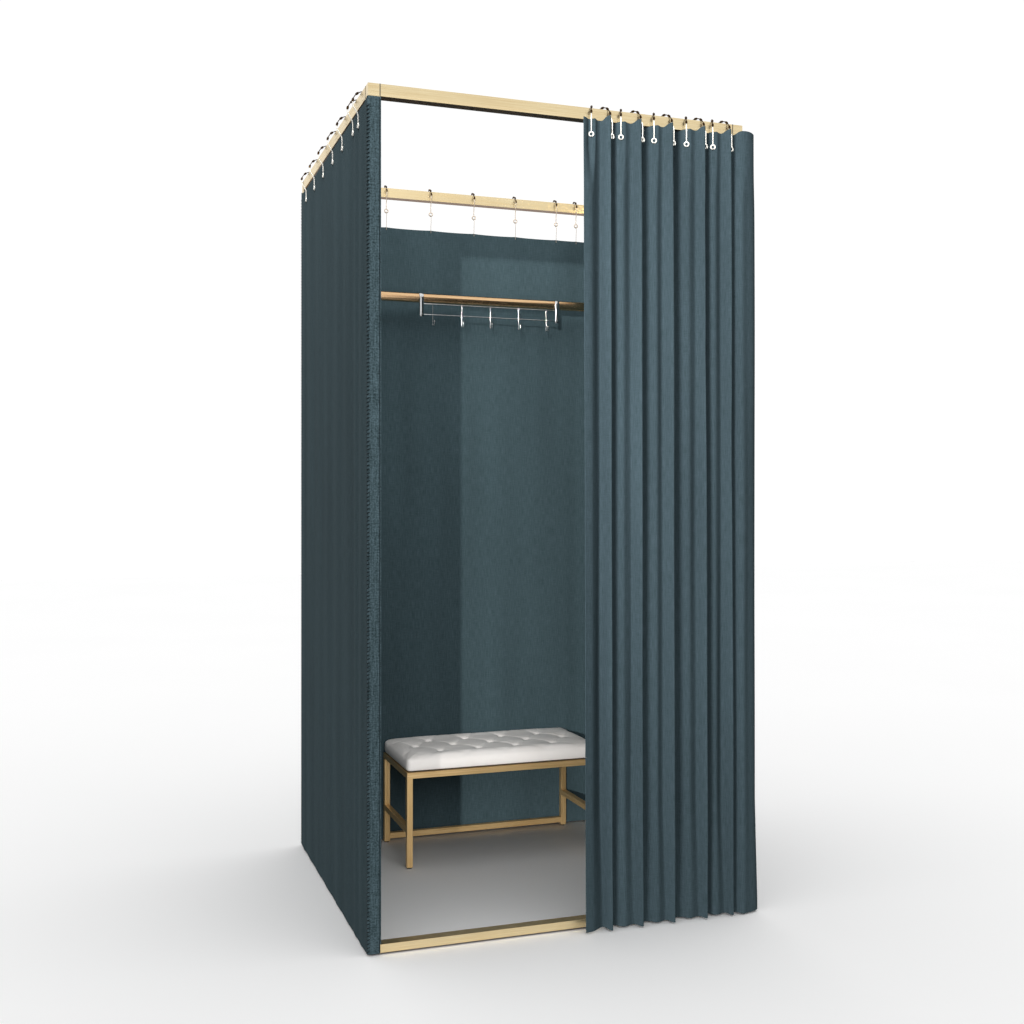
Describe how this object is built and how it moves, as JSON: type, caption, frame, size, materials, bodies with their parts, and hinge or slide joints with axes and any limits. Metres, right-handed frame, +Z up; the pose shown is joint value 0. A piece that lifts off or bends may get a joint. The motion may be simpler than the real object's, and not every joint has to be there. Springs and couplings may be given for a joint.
{
  "type": "portable fitting room",
  "caption": "Square tube fitting room with cloth walls, a drawn front curtain on roller hooks, a hanging rail with a hook rack and a tufted bench.",
  "frame": {"origin": "on the floor under the middle of the whole room's bounding box", "axes": "+Z up, -Y out through the doorway, +X to the right as seen from outside the doorway"},
  "size_m": [1.0578, 1.0348, 2.1108],
  "materials": {
    "pale_gold_tube": "pale gold, fine brushed, satin",
    "deep_gold_tube": "deeper gold, satin",
    "copper_rail": "rose gold plated, polished",
    "hook_metal": "plated wire",
    "rack_metal": "bright plated",
    "black_plastic": "matte",
    "dark_board": "painted plywood",
    "curtain_cloth": "heavy linen weave",
    "white_upholstery": "tufted, soft sheen"
  },
  "bodies": {
    "room_frame": {"post_front_left": "pale_gold_tube", "corner_top_front_left": "pale_gold_tube", "corner_base_front_left": "pale_gold_tube", "foot_front_left": "black_plastic", "post_front_right": "pale_gold_tube", "corner_top_front_right": "pale_gold_tube", "corner_base_front_right": "pale_gold_tube", "foot_front_right": "black_plastic", "post_back_right": "pale_gold_tube", "corner_top_back_right": "pale_gold_tube", "corner_base_back_right": "pale_gold_tube", "foot_back_right": "black_plastic", "post_back_left": "pale_gold_tube", "corner_top_back_left": "pale_gold_tube", "corner_base_back_left": "pale_gold_tube", "foot_back_left": "black_plastic", "rail_top_front": "pale_gold_tube", "rail_base_front": "pale_gold_tube", "rail_top_back": "pale_gold_tube", "rail_base_back": "pale_gold_tube", "rail_top_left": "pale_gold_tube", "rail_base_left": "pale_gold_tube", "rail_top_right": "pale_gold_tube", "rail_base_right": "pale_gold_tube", "hanging_rail": "copper_rail", "rail_bracket_left": "pale_gold_tube", "rail_bracket_right": "pale_gold_tube", "curtain_left": "curtain_cloth", "curtain_right": "curtain_cloth", "curtain_back": "curtain_cloth", "front_curtain": "curtain_cloth"},
    "front_hook_01": {"front_hook_01": "hook_metal"},
    "front_hook_02": {"front_hook_02": "hook_metal"},
    "front_hook_03": {"front_hook_03": "hook_metal"},
    "front_hook_04": {"front_hook_04": "hook_metal"},
    "front_hook_05": {"front_hook_05": "hook_metal"},
    "front_hook_06": {"front_hook_06": "hook_metal"},
    "front_hook_07": {"front_hook_07": "hook_metal"},
    "front_hook_08": {"front_hook_08": "hook_metal"},
    "front_hook_09": {"front_hook_09": "hook_metal"},
    "front_hook_10": {"front_hook_10": "hook_metal"},
    "hook_rack": {"rack_strap_left": "rack_metal", "rack_strap_right": "rack_metal", "rack_wire_upper": "rack_metal", "rack_wire_lower": "rack_metal", "rack_hook_1": "rack_metal", "rack_hook_2": "rack_metal", "rack_hook_3": "rack_metal", "rack_hook_4": "rack_metal", "rack_hook_5": "rack_metal"},
    "bench": {"bench_frame": "deep_gold_tube", "bench_board": "dark_board", "bench_cushion": "white_upholstery", "bench_glide_front_left": "black_plastic", "bench_glide_front_right": "black_plastic", "bench_glide_back_right": "black_plastic", "bench_glide_back_left": "black_plastic"}
  },
  "joints": [
    {"name": "draw_10", "type": "slide", "parent": "room_frame", "child": "front_hook_10", "axis": [-1, 0, 0], "range_m": [0, 0.0502], "deforming": ["front_curtain"]},
    {"name": "draw_09", "type": "slide", "parent": "front_hook_10", "child": "front_hook_09", "axis": [-1, 0, 0], "range_m": [0, 0.04051]},
    {"name": "draw_08", "type": "slide", "parent": "front_hook_09", "child": "front_hook_08", "axis": [-1, 0, 0], "range_m": [0, 0.07701]},
    {"name": "draw_07", "type": "slide", "parent": "front_hook_08", "child": "front_hook_07", "axis": [-1, 0, 0], "range_m": [0, 0.03971]},
    {"name": "draw_06", "type": "slide", "parent": "front_hook_07", "child": "front_hook_06", "axis": [-1, 0, 0], "range_m": [0, 0.06121]},
    {"name": "draw_05", "type": "slide", "parent": "front_hook_06", "child": "front_hook_05", "axis": [-1, 0, 0], "range_m": [0, 0.03931]},
    {"name": "draw_04", "type": "slide", "parent": "front_hook_05", "child": "front_hook_04", "axis": [-1, 0, 0], "range_m": [0, 0.06521]},
    {"name": "draw_03", "type": "slide", "parent": "front_hook_04", "child": "front_hook_03", "axis": [-1, 0, 0], "range_m": [0, 0.03521]},
    {"name": "draw_02", "type": "slide", "parent": "front_hook_03", "child": "front_hook_02", "axis": [-1, 0, 0], "range_m": [0, 0.07331]},
    {"name": "draw_01", "type": "slide", "parent": "front_hook_02", "child": "front_hook_01", "axis": [-1, 0, 0], "range_m": [0, 0.03851]},
    {"name": "rack_slide", "type": "slide", "parent": "room_frame", "child": "hook_rack", "axis": [1, 0, 0], "range_m": [-0.33, 0.16]},
    {"name": "bench_shift", "type": "slide", "parent": "room_frame", "child": "bench", "axis": [0, -1, 0], "range_m": [0, 0.56]}
  ],
  "couplings": [
    {"joint": "draw_09", "follows": "draw_10", "ratio": 0.80677},
    {"joint": "draw_08", "follows": "draw_10", "ratio": 1.5339},
    {"joint": "draw_07", "follows": "draw_10", "ratio": 0.79084},
    {"joint": "draw_06", "follows": "draw_10", "ratio": 1.2191},
    {"joint": "draw_05", "follows": "draw_10", "ratio": 0.78287},
    {"joint": "draw_04", "follows": "draw_10", "ratio": 1.2988},
    {"joint": "draw_03", "follows": "draw_10", "ratio": 0.7012},
    {"joint": "draw_02", "follows": "draw_10", "ratio": 1.4602},
    {"joint": "draw_01", "follows": "draw_10", "ratio": 0.76693}
  ]
}
